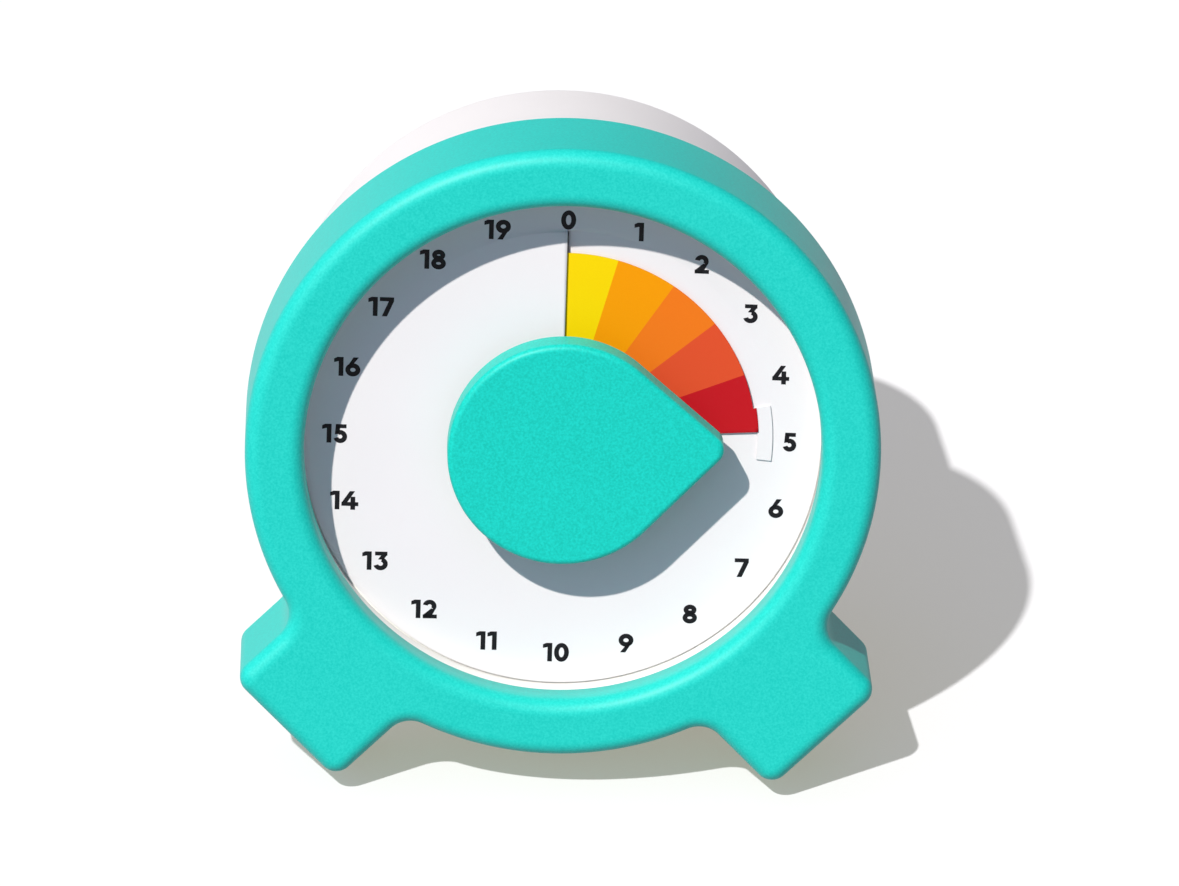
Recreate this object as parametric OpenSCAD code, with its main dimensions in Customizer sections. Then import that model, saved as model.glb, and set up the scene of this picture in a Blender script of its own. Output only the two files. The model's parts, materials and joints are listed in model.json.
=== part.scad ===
// Visual countdown timer that leans back on two legs and on the lower edge of its drum.
// The pieces are drawn in the dial's own frame: X to the right, Y up the dial, Z out of
// the dial towards the reader, with the dial's surface at Z = 0.
// stance() then leans the timer back and stands it on Z = 0, with its face towards -Y.
// Angles of the dial run clockwise from 12 o'clock.

/* [Ring] */
// Outer diameter of the ring
ring_d = 140; // [132:1:150]
// Width of the ring's front, from its outside to the window
ring_width = 13; // [12:0.1:14]
// Height of the ring's front above the dial
ring_front = 14.6; // [14:0.1:18]
// Depth of the ring's back edge behind the dial
ring_back = 12.6; // [11:0.1:16]
// Wall thickness of the front shell
shell_wall = 2.4; // [2:0.1:2.8]
// Rounding of the ring's outer front edge
ring_edge_r = 3.4; // [1:0.1:3.8]
// Rounding of the window's front edge
window_edge_r = 3.3; // [1:0.1:3.6]
// Length of the window's own wall, front to back
window_wall = 8.6; // [6:0.1:10]

/* [Legs] */
// Angle of each leg below the horizontal
leg_angle = 45; // [42:1:50]
// How far the leg's end stands out beyond the ring
leg_out = 18.6; // [15:0.2:26]
// Distance of the leg's lower side from its axis
leg_low = 20.1; // [17:0.1:22]
// Distance of the leg's upper side from its axis
leg_high = 12.9; // [10:0.1:15]
// Rounding of the leg's corners
leg_corner_r = 4; // [3.9:0.1:6]
// Hollow rounding between the leg's lower side and the ring
leg_low_fillet = 6; // [4:0.5:8]
// Hollow rounding between the leg's upper side and the ring
leg_high_fillet = 7; // [4:0.5:9]

/* [Rear shell] */
// Distance of the drum's side inside the ring's outside
drum_inset = 8.8; // [8:0.1:9.6]
// Depth of the drum's back face behind the dial
drum_back = 67; // [62:0.5:75]
// Rounding of the drum's back edge
drum_edge_r = 3; // [1:0.1:5]
// Wall thickness of the drum
drum_wall = 2.4; // [2:0.1:3]
// Thickness of the plate that closes the ring and legs from behind
flange_t = 2.4; // [2:0.1:3]
// Gap between the rear shell and the front shell round it
shell_gap = 0.2; // [0.1:0.05:0.4]
// Number of sound slots in the back
slot_count = 12; // [8:1:16]
// Width of a sound slot
slot_w = 2.4; // [1.5:0.1:3.5]
// Distance of the slots' inner ends from the centre
slot_start = 12; // [10:0.5:16]
// Length of a sound slot
slot_l = 12; // [8:0.5:18]

/* [Dial] */
// Minutes in one turn of the dial
dial_minutes = 20; // [10:5:60]
// Thickness of the dial
dial_t = 0.6; // [0.5:0.05:0.8]
// Gap between the dial's rim and its tray
dial_gap = 0.5; // [0.3:0.05:0.8]
// Width of the slit at 12 o'clock
slit_w = 0.36; // [0.3:0.02:0.6]
// Distance of the slit's outer end inside the window
slit_inset = 9.4; // [8:0.1:10]
// Diameter of the hole in the dial's middle
dial_hole_d = 27; // [26:0.5:30]
// Sharpness with which the dial flattens past the slit's end
flatten_power = 12; // [8:1:16]
// Set-back of the tray's wall from the window's wall
tray_step = 0.8; // [0.5:0.1:1]
// Thickness of the tray's wall
tray_wall = 1.6; // [1.4:0.1:2]
// Thickness of the tray's floor and ledge
tray_t = 2; // [1.6:0.1:2.4]
// Depth of the tray's well behind the dial
well_depth = 5; // [5:0.1:7]

/* [Colour disc] */
// Time shown at rest, in minutes
set_minutes = 4.83; // [0:0.01:19]
// Distance of the film's edge inside the slit's outer end
film_inset = 4.9; // [4:0.1:8]
// Outward step of the film's edge at its leading end
film_step = 0.7; // [0.4:0.1:1]
// Thickness of the printed film
film_t = 0.2; // [0.15:0.01:0.3]
// Thickness of the carrier under the film
carrier_t = 0.3; // [0.2:0.01:0.4]
// Gap between the disc and the dial on either side
disc_gap = 0.2; // [0.15:0.01:0.3]
// Outer radius of the carrier's ring
carrier_r = 22; // [16:0.5:24]
// Distance of the flag's end inside the slit's outer end
flag_inset = 1.1; // [1:0.1:2]
// Width of the flag where it stands ahead of the film
flag_w = 3.3; // [2.6:0.1:4]
// Angle of the flag ahead of the film's leading edge
flag_ahead = 8.4; // [6:0.1:8.4]
// Angle of the flag behind the film's leading edge
flag_behind = 7.4; // [4:0.2:9]
// Diameter of the disc's hub
hub_d = 24; // [22:0.5:24.5]

/* [Knob] */
// Diameter of the knob's round part
knob_d = 51; // [46:0.5:56]
// Distance of the knob's tip from its centre
tip_reach = 35.4; // [33:0.2:40]
// Rounding of the knob's tip
tip_r = 3.5; // [3:0.1:4.5]
// Distance of the knob's front behind the ring's front
knob_sink = 1.6; // [0.5:0.1:3]
// Thickness of the knob, front to back
knob_t = 7; // [6.4:0.1:8.5]
// Rounding of the knob's front edge
knob_edge_r = 1; // [0.5:0.1:2]
// Wall thickness of the knob
knob_wall = 2; // [1.6:0.1:2.4]

/* [Movement] */
// Diameter of the main arbor
arbor_d = 6; // [5:0.1:6.4]
// Width across the flats of the six-sided drive sleeve
sleeve_af = 14; // [12:0.1:15]
// Running clearance of the arbors in their holes
running = 0.04; // [0.02:0.01:0.06]
// Diameter of the two movement plates
plate_d = 80; // [78:1:90]
// Thickness of a movement plate
plate_t = 1.5; // [1.2:0.1:2]
// Distance between the movement plates
plate_span = 22.5; // [22.5:0.1:25]
// Gap between the tray's floor and the front plate
plate_gap = 2; // [1.8:0.1:3]
// Thickness of a train wheel
wheel_t = 1.2; // [1:0.1:1.4]
// Diameter of the train arbors
pinion_arbor_d = 2; // [1.8:0.1:2.2]
// Diameter of the train arbors' pivots
pivot_d = 1.2; // [1:0.05:1.4]
// Module of the great wheel's teeth
great_module = 0.6; // [0.58:0.005:0.62]
// Module of the other wheels' teeth
train_module = 0.5; // [0.48:0.005:0.52]
// Gap left between meshing teeth
backlash = 0.14; // [0.1:0.01:0.2]
// Outer diameter of the wound mainspring
spring_d = 28; // [24:0.5:29]
// Thickness of the mainspring strip
spring_t = 0.35; // [0.25:0.01:0.4]
// Turns of the mainspring
spring_turns = 6; // [4:1:7]

/* [Bell] */
// Diameter of the bell
bell_d = 48; // [44:0.5:52]
// Height of the bell
bell_h = 13; // [11:0.5:15]
// Wall thickness of the bell
bell_wall = 1.2; // [0.8:0.1:1.6]
// Radius of the bell's shoulder
bell_shoulder_r = 8; // [4:0.5:9]
// Gap between the hammer and the bell at rest
hammer_gap = 1; // [0.8:0.05:1.4]

/* [Hidden] */
$fn = 96;
EPS = 0.01;
BEYOND = 1;

TEAL = [0.18, 0.84, 0.78];
WHITE = [0.93, 0.93, 0.95];
BRASS = [0.80, 0.66, 0.32];
STEEL = [0.70, 0.71, 0.73];

// Radii that follow from the driving sizes
ring_r = ring_d / 2;
window_r = ring_r - ring_width;
drum_r = ring_r - drum_inset;
leg_reach = ring_r + leg_out;
channel_r = window_r + shell_wall;
pan_r = window_r + tray_step;
pan_out_r = pan_r + tray_wall;
dial_r = pan_r - dial_gap;
spigot_step = 1;
spigot_r = drum_r - spigot_step;
slit_r = window_r - slit_inset;
disc_r = slit_r - film_inset;
flag_r = slit_r - flag_inset;
hub_r = hub_d / 2;
knob_r = knob_d / 2;
arbor_r = arbor_d / 2;
seat_gap = 0.01;

// Lean of the timer: the line under the legs' back edges also touches the drum's rounded edge
leg_corner_u = leg_reach - leg_corner_r;
leg_corner_v = leg_low - leg_corner_r;
leg_drop = leg_corner_u * sin(leg_angle) + leg_corner_v * cos(leg_angle) + leg_corner_r;
lean_rise = leg_drop - drum_r + drum_edge_r;
lean_run = drum_back - drum_edge_r - ring_back;
lean = acos(drum_edge_r / norm([lean_rise, lean_run])) - atan2(lean_run, lean_rise);

// Place of the dial's centre above the floor, and in depth, with the timer's box centred on Y
floor_drop = leg_drop * cos(lean) + ring_back * sin(lean);
front_reach = (leg_drop - ring_edge_r) * sin(lean) + (ring_front - ring_edge_r) * cos(lean) + ring_edge_r;
back_reach = (drum_r - drum_edge_r) * sin(lean) + (drum_back - drum_edge_r) * cos(lean) + drum_edge_r;
centre_y = (front_reach - back_reach) / 2;

// Slit dial and disc: both climb by one pitch in a turn, so that the disc passes the slit
pitch = dial_t + film_t + carrier_t + 2 * disc_gap;
minute_angle = 360 / dial_minutes;
set_angle = set_minutes * minute_angle;
film_slot = 2;

// The dial's rim rests on a ledge that starts where the dial has almost become flat
flat_run = 6.9;
ledge_r = slit_r + flat_run;
seat_margin = 0.03;
seat_dip = pitch / 180 * asin(pow(slit_r / ledge_r, flatten_power));

// Levels behind the dial
ledge_top = -dial_t - seat_dip - seat_margin;
ledge_back = ledge_top - tray_t;
pan_top = ring_front - window_wall;
well_top = -well_depth;
well_back = well_top - tray_t;
plate_front = well_back - plate_gap;
bay = plate_front - plate_t;
rear_plate_front = bay - plate_span;
rear_plate_back = rear_plate_front - plate_t;
flange_back = -ring_back;
flange_front = flange_back + flange_t;

// Teeth
pressure_angle = 22.5;
root_depth = 1.3;
tip_height = 0.85;

// Movement layout, on the dial's X and Y
great_teeth = 60;
second_leaves = 12;
second_teeth = 48;
third_leaves = 12;
third_teeth = 48;
escape_leaves = 10;
escape_teeth = 15;
great_holes = 5;
train_holes = 4;
second_bearing = 20;
third_bearing = 120;
escape_bearing = 160;
pallet_bearing = 200;
second_at = polar((great_teeth + second_leaves) * great_module / 2, second_bearing);
third_at = second_at + polar((second_teeth + third_leaves) * train_module / 2, third_bearing);
escape_at = third_at + polar((third_teeth + escape_leaves) * train_module / 2, escape_bearing);

// Escapement: two pins straddle the escape wheel at tangent points
escape_r = 6;
escape_root_r = 4.2;
escape_root_half = 6;
escape_tip_half = 1.3;
pin_r = 0.25;
pin_clear = 0.12;
pin_spread = 42;
pin_ring = escape_r + pin_r + pin_clear;
pallet_at = escape_at + polar(pin_ring / cos(pin_spread), pallet_bearing);
quarter_phase = 6;
pallet_t = 1;
pallet_w = 1.6;
pallet_boss_r = 2;

// Levels of the train, measured back from the front plate
great_depth = 1.7;
second_depth = 6.3;
third_depth = 10.3;
escape_depth = 14.8;
pallet_depth = 16.4;
balance_depth = 19.3;
cam_depth = 8.5;
spring_depth = 13.3;
great_level = bay - great_depth;
second_level = bay - second_depth;
third_level = bay - third_depth;
escape_level = bay - escape_depth;
pallet_level = bay - pallet_depth;
balance_level = bay - balance_depth;
cam_level = bay - cam_depth;
spring_level = bay - spring_depth;
spring_w = 8;
end_play = 0.3;
pinion_l = 3;
pinion_lead = 0.8;

pinion_arbor_r = pinion_arbor_d / 2;
pivot_r = pivot_d / 2;
pillar_inset = 3.5;
pillar_ring = plate_d / 2 - pillar_inset;
pillar_r = 3;
pillar_count = 4;
pillar_first = 125;
pillar_pitch = 75;
screw_r = 1;
screw_head_r = 2;
screw_head_h = 1.2;
screw_bite = 4;
move_inset = 10;
move_ring_r = plate_d / 2 - move_inset;
move_screw_count = 3;
move_screw_first = 75;
move_boss_r = 4;
move_screw_r = 1.5;
move_head_r = 2.8;
move_head_h = 1.4;

hole_spare = 0.5;
screw_play = 0.2;
driver_slot = 0.5;
face_play = 0.1;
pivot_proud = 0.5;
wheel_rim = 1.6;
wheel_boss = 1.6;
half_spoke = 0.4;

// Case screws: one in each leg and three round the ring
case_screw_r = 1.1;
case_head_r = 2.1;
case_head_h = 1.3;
case_bite = 9;
case_boss_r = 2.6;
case_web = 3;
leg_boss_r = 3.4;
leg_screw_inset = 14.6;
leg_screw_at = [leg_reach - leg_screw_inset, (leg_high - leg_low) / 2];
ring_screw_r = (drum_r + ring_r - shell_wall) / 2;
ring_screw_angles = [90, 18, 162];

// Arbor, bushings and sleeve
bush_wall = 1.5;
bush_flange_w = 1.5;
bush_flange_t = 0.4;
bush_r = arbor_r + bush_wall;
bush_flange_r = bush_r + bush_flange_w;
collar_w = 1.7;
collar_r = arbor_r + collar_w;
pivot_step = 1;
rear_pivot_r = arbor_r - pivot_step;
rear_bush_wall = 2;
rear_bush_r = rear_pivot_r + rear_bush_wall;
clip_t = 0.7;
clip_gap = 0.5;
clip_top = rear_plate_back - clip_gap;
clip_mouth = 0.8;
clip_w = 1.2;
clip_r = rear_pivot_r + clip_w;
groove_depth = 0.4;
groove_r = rear_pivot_r - groove_depth;
arbor_tail = 2.2;
knob_front = ring_front - knob_sink;
knob_back = knob_front - knob_t;
socket_depth = 4;
knob_boss_wall = 1.5;
knob_boss_r = sleeve_af / 2 + knob_boss_wall;
sleeve_bottom = well_top + bush_flange_t + face_play;
hub_margin = 0.3;
slide_gap = 0.05;

// Stops: a pin on the great wheel meets a post on the front plate at both ends of the travel
stop_ring = 14;
stop_pin_r = 0.6;
stop_post_r = 0.45;
stop_room = 0.05;
stop_half = asin((stop_pin_r + stop_post_r + stop_room) / stop_ring);

// Striking work
cam_r = 8;
cam_t = 1.5;
cam_notch = 2.4;
hammer_at = [-24, 10];
bell_at = [0, -12];
bell_gap = 2.5;
bell_front = rear_plate_back - bell_gap;
bell_back = bell_front - bell_h;
bell_r = bell_d / 2;
head_r = 3;
head_at = [bell_at[0] - (bell_r - bell_wall - hammer_gap - head_r), bell_at[1]];
arm_gap = 0.4;
arm_level = rear_plate_back - arm_gap;
arm_t = 1;
arm_w = 3.4;
lever_boss_r = 2.3;
tail_gap = 0.5;
tail_w = 1.6;
tail_bearing = 135;
head_depth = 4.5;
post_r = 2.5;
stud_r = 1.5;
stud_proud = 0.6;
nut_h = 2.4;
nut_af = 5.5;

function polar(r, a) = [r * cos(a), r * sin(a)];
tail_at = polar(cam_r + tail_gap + tail_w / 2, tail_bearing);

function clock(r, a, z) = [r * sin(a), r * cos(a), z];

// Phase of a wheel's first tooth that puts it in mesh along bearing a with wheel 1
function mesh_phase(a, n1, p1, n2) = a + 180 - (180 - n1 * (a - p1)) / n2;

great_phase = 0;
second_phase = mesh_phase(second_bearing, great_teeth, great_phase, second_leaves);
third_phase = mesh_phase(third_bearing, second_teeth, second_phase, third_leaves);
escape_phase = mesh_phase(escape_bearing, third_teeth, third_phase, escape_leaves);

module stance() {
    translate([0, centre_y, floor_drop])
        rotate([90 - lean, 0, 0])
            children();
}

module tube(r_out, r_in, z_low, z_high) {
    translate([0, 0, z_low])
        difference() {
            cylinder(r = r_out, h = z_high - z_low);
            translate([0, 0, -BEYOND])
                cylinder(r = r_in, h = z_high - z_low + 2 * BEYOND);
        }
}

module rod(r, z_low, z_high) {
    translate([0, 0, z_low])
        cylinder(r = r, h = z_high - z_low);
}

module at(place) {
    translate([place[0], place[1], 0])
        children();
}

// Straight link of width w, square at one place and round at the other
module link_shape(from, to, w) {
    run = to - from;
    translate(from)
        rotate([0, 0, atan2(run[1], run[0])])
            translate([0, -w / 2])
                square([norm(run), w]);
    translate(to)
        circle(r = w / 2);
}

module at_set_angle() {
    rotate([0, 0, -set_angle])
        children();
}

// Section of a slab from x = from to x = w with its top outer edge rounded by e
module edge_section(w, z_low, z_high, e, from = 0) {
    difference() {
        translate([from, z_low])
            square([w - from, z_high - z_low]);
        if (e > 0)
            translate([w - e, z_high - e])
                difference() {
                    square(e + BEYOND);
                    circle(r = e);
                }
    }
}

// Closed surface through loops of equally many points, either joined last to first or capped
module loft(loops, ring = false) {
    n = len(loops[0]);
    rows = len(loops);
    sides = [
        for (j = [0 : rows - (ring ? 1 : 2)])
            for (i = [0 : n - 1])
                let (
                    a = j * n + i,
                    b = j * n + (i + 1) % n,
                    c = (j + 1) % rows * n + (i + 1) % n,
                    d = (j + 1) % rows * n + i
                )
                for (f = [[a, c, b], [a, d, c]])
                    f
    ];
    caps = ring ? [] : [[for (i = [0 : n - 1]) i], [for (i = [n - 1 : -1 : 0]) (rows - 1) * n + i]];
    polyhedron(points = [for (l = loops) for (p = l) p], faces = concat(sides, caps), convexity = 8);
}

// Outlines are lists of [point, outward normal]; loop_at() shrinks one and lifts it to height z
function arc_points(centre, r, a_from, a_to, steps, hollow = false, skip = 0) = [
    for (i = [skip : steps])
        let (a = a_from + (a_to - a_from) * i / steps)
        [centre + polar(r, a), polar(hollow ? -1 : 1, a)]
];
function turned(outline, a) = [
    for (q = outline)
        [for (v = q) [v[0] * cos(a) - v[1] * sin(a), v[0] * sin(a) + v[1] * cos(a)]]
];
function with_mirror(half) = concat(
    half,
    [for (i = [len(half) - 2 : -1 : 1]) [for (v = half[i]) [-v[0], v[1]]]]
);
function loop_at(outline, inset, z) = [
    for (q = outline)
        [q[0][0] - inset * q[1][0], q[0][1] - inset * q[1][1], z]
];
function circle_like(outline, r, z) = [
    for (q = outline)
        let (u = q[0] / norm(q[0]))
        [r * u[0], r * u[1], z]
];

// Loops round a rounded top edge, from the side wall up to the top face
function edge_loops(outline, inset, z_top, e, steps) = [
    for (i = [0 : steps])
        let (t = 90 * i / steps)
        loop_at(outline, inset + e * (1 - cos(t)), z_top - e * (1 - sin(t)))
];

// ---------- front shell ----------

// Outline of ring and legs, counter-clockwise from the bottom
function fillet_u(side, r) = sqrt(pow(ring_r + r, 2) - pow(side + r, 2));
function fillet_angle(side, r) = atan2(side + r, fillet_u(side, r));
low_angle = fillet_angle(leg_low, leg_low_fillet);
high_angle = fillet_angle(leg_high, leg_high_fillet);
ring_steps = 30;
round_steps = 6;
edge_steps = 5;
end_steps = 5;
leg_end = leg_high + leg_low - 2 * leg_corner_r;
half_shell = concat(
    arc_points([0, 0], ring_r, -90, -leg_angle - low_angle, round_steps),
    turned(
        concat(
            arc_points([fillet_u(leg_low, leg_low_fillet), -leg_low - leg_low_fillet], leg_low_fillet,
                180 - low_angle, 90, round_steps, true, 1),
            arc_points([leg_corner_u, -leg_low + leg_corner_r], leg_corner_r, -90, 0, round_steps),
            [
                for (i = [1 : end_steps - 1])
                    [[leg_reach, leg_corner_r - leg_low + leg_end * i / end_steps], [1, 0]]
            ],
            arc_points([leg_corner_u, leg_high - leg_corner_r], leg_corner_r, 0, 90, round_steps),
            arc_points([fillet_u(leg_high, leg_high_fillet), leg_high + leg_high_fillet], leg_high_fillet,
                -90, -180 + high_angle, round_steps, true)
        ),
        -leg_angle
    ),
    arc_points([0, 0], ring_r, high_angle - leg_angle, 90, ring_steps, false, 1)
);
shell_outline = with_mirror(half_shell);

module both_legs() {
    for (side = [0, 1])
        mirror([side, 0, 0])
            rotate([0, 0, -leg_angle])
                children();
}

// Outside, front face, window and hollow of the front shell in one surface
module shell_skin() {
    o = shell_outline;
    ceiling = ring_front - shell_wall;
    window_loops = [
        for (i = [edge_steps : -1 : 0])
            let (
                t = 90 * i / edge_steps,
                back = window_edge_r * (1 - cos(t)),
                down = window_edge_r * (1 - sin(t))
            )
            circle_like(o, window_r + back, ring_front - down)
    ];
    loft(
        concat(
            [loop_at(o, 0, -ring_back)],
            edge_loops(o, 0, ring_front, ring_edge_r, edge_steps),
            window_loops,
            [
                circle_like(o, window_r, pan_top),
                circle_like(o, channel_r, pan_top),
                circle_like(o, channel_r, ceiling),
                loop_at(o, shell_wall, ceiling),
                loop_at(o, shell_wall, -ring_back)
            ]
        ),
        true
    );
}

module at_case_screws() {
    both_legs()
        at(leg_screw_at)
            children();
    for (a = ring_screw_angles)
        at(polar(ring_screw_r, a))
            children();
}

module shell_bosses() {
    top = ring_front - shell_wall / 2;
    difference() {
        union() {
            both_legs()
                at(leg_screw_at)
                    rod(leg_boss_r, flange_front, top);
            for (a = ring_screw_angles)
                rotate([0, 0, a]) {
                    translate([ring_screw_r, 0, 0])
                        rod(case_boss_r, flange_front, top);
                    translate([ring_screw_r, -case_web / 2, flange_front])
                        cube([ring_r - shell_wall / 2 - ring_screw_r, case_web, top - flange_front]);
                }
        }
        at_case_screws()
            rod(case_screw_r + seat_gap, flange_front - BEYOND, flange_front + case_bite + hole_spare);
    }
}

module front_shell() {
    color(TEAL)
        stance() {
            shell_skin();
            shell_bosses();
        }
}

// ---------- rear shell ----------

// Leg along +X, drawn smaller by inset all round
module leg_outline(inset) {
    r = leg_corner_r - inset;
    reach = leg_reach - inset;
    low = -leg_low + inset;
    high = leg_high - inset;
    translate([0, low])
        square([reach - r, high - low]);
    translate([0, low + r])
        square([reach, high - low - 2 * r]);
    for (y = [low + r, high - r])
        translate([reach - r, y])
            circle(r = r);
}

module flange_outline() {
    gap = shell_wall + shell_gap;
    circle(r = ring_r - gap);
    both_legs()
        leg_outline(gap);
}

module drum_section() {
    difference() {
        square([drum_r, drum_back - ring_back + flange_t]);
        translate([-BEYOND, -BEYOND])
            square([drum_r - drum_wall + BEYOND, drum_back - ring_back + flange_t - drum_wall + BEYOND]);
        translate([drum_r - drum_edge_r, drum_back - ring_back + flange_t - drum_edge_r])
            difference() {
                square(drum_edge_r + BEYOND);
                circle(r = drum_edge_r);
            }
    }
}

module sound_slot() {
    translate([slot_start, -slot_w / 2])
        square([slot_l, slot_w]);
    for (x = [slot_start, slot_start + slot_l])
        translate([x, 0])
            circle(r = slot_w / 2);
}

module rear_shell() {
    color(WHITE)
        stance()
            difference() {
                union() {
                    translate([0, 0, flange_front])
                        mirror([0, 0, 1])
                            rotate_extrude()
                                drum_section();
                    translate([0, 0, flange_back])
                        linear_extrude(height = flange_t)
                            difference() {
                                flange_outline();
                                circle(r = drum_r - drum_wall);
                            }
                    tube(spigot_r, drum_r - drum_wall, flange_front - EPS, ledge_back - seat_gap);
                }
                at_case_screws()
                    rod(case_screw_r + screw_play, flange_back - BEYOND, flange_front + BEYOND);
                translate([0, 0, -drum_back - BEYOND])
                    linear_extrude(height = drum_wall + 2 * BEYOND)
                        for (i = [0 : slot_count - 1])
                            rotate([0, 0, i * 360 / slot_count])
                                sound_slot();
            }
}

// Pan-head screw whose head's underside lies at z = 0, its shank reaching up +Z
module screw(r, length, head_r, head_h) {
    difference() {
        union() {
            rod(r, 0, length);
            rod(head_r, -head_h, 0);
        }
        translate([-head_r, -driver_slot / 2, -head_h - BEYOND])
            cube([2 * head_r, driver_slot, BEYOND + head_h / 2]);
    }
}

module case_screws() {
    color(STEEL)
        stance()
            at_case_screws()
                translate([0, 0, flange_back - seat_gap])
                    screw(case_screw_r, flange_t + case_bite, case_head_r, case_head_h);
}

// ---------- dial ----------

module at_move_screws() {
    for (i = [0 : move_screw_count - 1])
        at(polar(move_ring_r, move_screw_first + i * 360 / move_screw_count))
            children();
}

module dial_pan() {
    well_r = ledge_r + tray_wall;
    ledge_out_r = max(pan_out_r, spigot_r);
    color(WHITE)
        stance()
            difference() {
                union() {
                    tube(pan_out_r, pan_r, ledge_top - EPS, pan_top - seat_gap);
                    tube(ledge_out_r, ledge_r, ledge_back, ledge_top);
                    tube(well_r, ledge_r, well_back, ledge_back + EPS);
                    rod(well_r, well_back, well_top);
                    at_move_screws()
                        rod(move_boss_r, plate_front + seat_gap, well_back + EPS);
                }
                rod(bush_r + seat_gap, well_back - BEYOND, well_top + BEYOND);
                at_move_screws()
                    rod(move_screw_r + screw_play, plate_front - BEYOND, well_top + BEYOND);
            }
}

// Height of the dial's surface at radius r and angle a: one turn of a screw surface inside the
// slit, flattening out past the slit's end
function dial_z(r, a) =
    r <= slit_r
        ? pitch * (a / 360 - 0.5)
        : let (fade = pow(slit_r / r, flatten_power))
            -pitch / 180 * atan2(fade * sin(a), 1 - fade * cos(a));

dial_steps = 60;
station_bias = 38;
slit_taper = 0.5;
flat_steps = [1, 2.6, 4.4, flat_run];
dial_rings = concat(
    [dial_hole_d / 2, slit_r - slit_taper, slit_r],
    [for (step = flat_steps) slit_r + step],
    [dial_r]
);
closed_ring = 2;

// Angle of station i, closer together near the slit
function station(i) = 360 * i / dial_steps - station_bias * sin(360 * i / dial_steps);
function lip(r) = asin(slit_w / 2 / r);
function dial_angle(j, i) =
    j < closed_ring
        ? lip(dial_rings[j]) + station(i) * (1 - lip(dial_rings[j]) / 180)
        : station(i);
function dial_height(j, i) = j == closed_ring && i == 0 ? 0 : dial_z(dial_rings[j], dial_angle(j, i));

module dial_plate() {
    rows = len(dial_rings);
    wide = dial_steps + 1;
    under = rows * wide;
    points = [
        for (drop = [0, dial_t])
            for (j = [0 : rows - 1])
                for (i = [0 : dial_steps])
                    clock(dial_rings[j], dial_angle(j, i), dial_height(j, i) - drop)
    ];
    function id(j, i) = j * wide + (j >= closed_ring ? i % dial_steps : i);
    function below(j, i) = under + id(j, i);
    function quad(a, b, c, d) = [[a, c, b], [a, d, c]];
    rim = rows - 1;
    faces = [
        for (j = [0 : rows - 2])
            for (i = [0 : dial_steps - 1])
                for (f = concat(
                    quad(id(j, i), id(j, i + 1), id(j + 1, i + 1), id(j + 1, i)),
                    quad(below(j, i), below(j + 1, i), below(j + 1, i + 1), below(j, i + 1))))
                    f,
        for (i = [0 : dial_steps - 1])
            for (f = concat(
                quad(id(0, i), below(0, i), below(0, i + 1), id(0, i + 1)),
                quad(id(rim, i), id(rim, i + 1), below(rim, i + 1), below(rim, i))))
                f,
        for (j = [0 : closed_ring - 1])
            for (f = concat(
                quad(id(j, 0), id(j + 1, 0), below(j + 1, 0), below(j, 0)),
                quad(id(j, dial_steps), below(j, dial_steps), below(j + 1, dial_steps),
                    id(j + 1, dial_steps))))
                f
    ];
    color(WHITE)
        stance()
            polyhedron(points = points, faces = faces, convexity = 6);
}

// ---------- colour disc ----------

disc_steps = 64;
flag_steps = 4;
ramp = 0.2;
film_step_span = 7.4;
slot_start_angle = set_angle - 360 + film_slot;

// Height of the disc's lower face at angle a, which may be below 0
function disc_z(a) = pitch * (a / 360 - 0.5) + disc_gap;
disc_in_r = (hub_r + seat_gap) / cos(180 / disc_steps);

// Thin screw-shaped ring: each station is [angle, outer radius, inner radius]
module screw_ring(stations, lift, t) {
    n = len(stations);
    points = [
        for (s = stations)
            for (p = [[s[2], 0], [s[1], 0], [s[1], t], [s[2], t]])
                clock(p[0], s[0], disc_z(s[0]) + lift + p[1])
    ];
    faces = concat(
        [[0, 1, 2], [0, 2, 3]],
        [[4 * n - 1, 4 * n - 2, 4 * n - 3], [4 * n - 1, 4 * n - 3, 4 * n - 4]],
        [
            for (i = [0 : n - 2])
                for (k = [0 : 3])
                    for (f = [
                        [4 * i + k, 4 * i + 4 + k, 4 * i + 4 + (k + 1) % 4],
                        [4 * i + k, 4 * i + 4 + (k + 1) % 4, 4 * i + (k + 1) % 4]])
                        f
        ]
    );
    polyhedron(points = points, faces = faces, convexity = 6);
}

// Stations from one angle to another between an outer and an inner radius
function sector(from, to, steps, r_out, r_in) = [
    for (i = [0 : steps])
        [from + (to - from) * i / steps, r_out, r_in]
];

module color_disc() {
    step_at = set_angle - film_step_span;
    stations = concat(
        sector(slot_start_angle, step_at - ramp, disc_steps, disc_r, disc_in_r),
        sector(step_at, set_angle, flag_steps, disc_r + film_step, disc_in_r)
    );
    color("orange")
        stance()
            screw_ring(stations, carrier_t + seat_gap, film_t);
}

module disc_carrier() {
    flag_from = set_angle - flag_behind;
    stations = concat(
        sector(slot_start_angle, flag_from - ramp, disc_steps, carrier_r, disc_in_r),
        sector(flag_from, set_angle - ramp, flag_steps, flag_r, disc_in_r),
        sector(set_angle, set_angle + flag_ahead, flag_steps, flag_r, flag_r - flag_w)
    );
    color(WHITE)
        stance()
            screw_ring(stations, 0, carrier_t);
}

module six_sided(af, z_low, z_high) {
    translate([0, 0, z_low])
        linear_extrude(height = z_high - z_low)
            polygon([for (i = [0 : 5]) polar(af / 2 / cos(30), 60 * i)]);
}

module disc_hub() {
    low = disc_z(slot_start_angle) - hub_margin;
    high = disc_z(set_angle + flag_ahead) + carrier_t + film_t + hub_margin;
    color(WHITE)
        stance()
            at_set_angle()
                difference() {
                    rod(hub_r, low, high);
                    six_sided(sleeve_af + 2 * slide_gap, low - BEYOND, high + BEYOND);
                }
}

// ---------- knob ----------

tip_centre = tip_reach - tip_r;
flank_angle = acos((knob_r - tip_r) / tip_centre);

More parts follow.
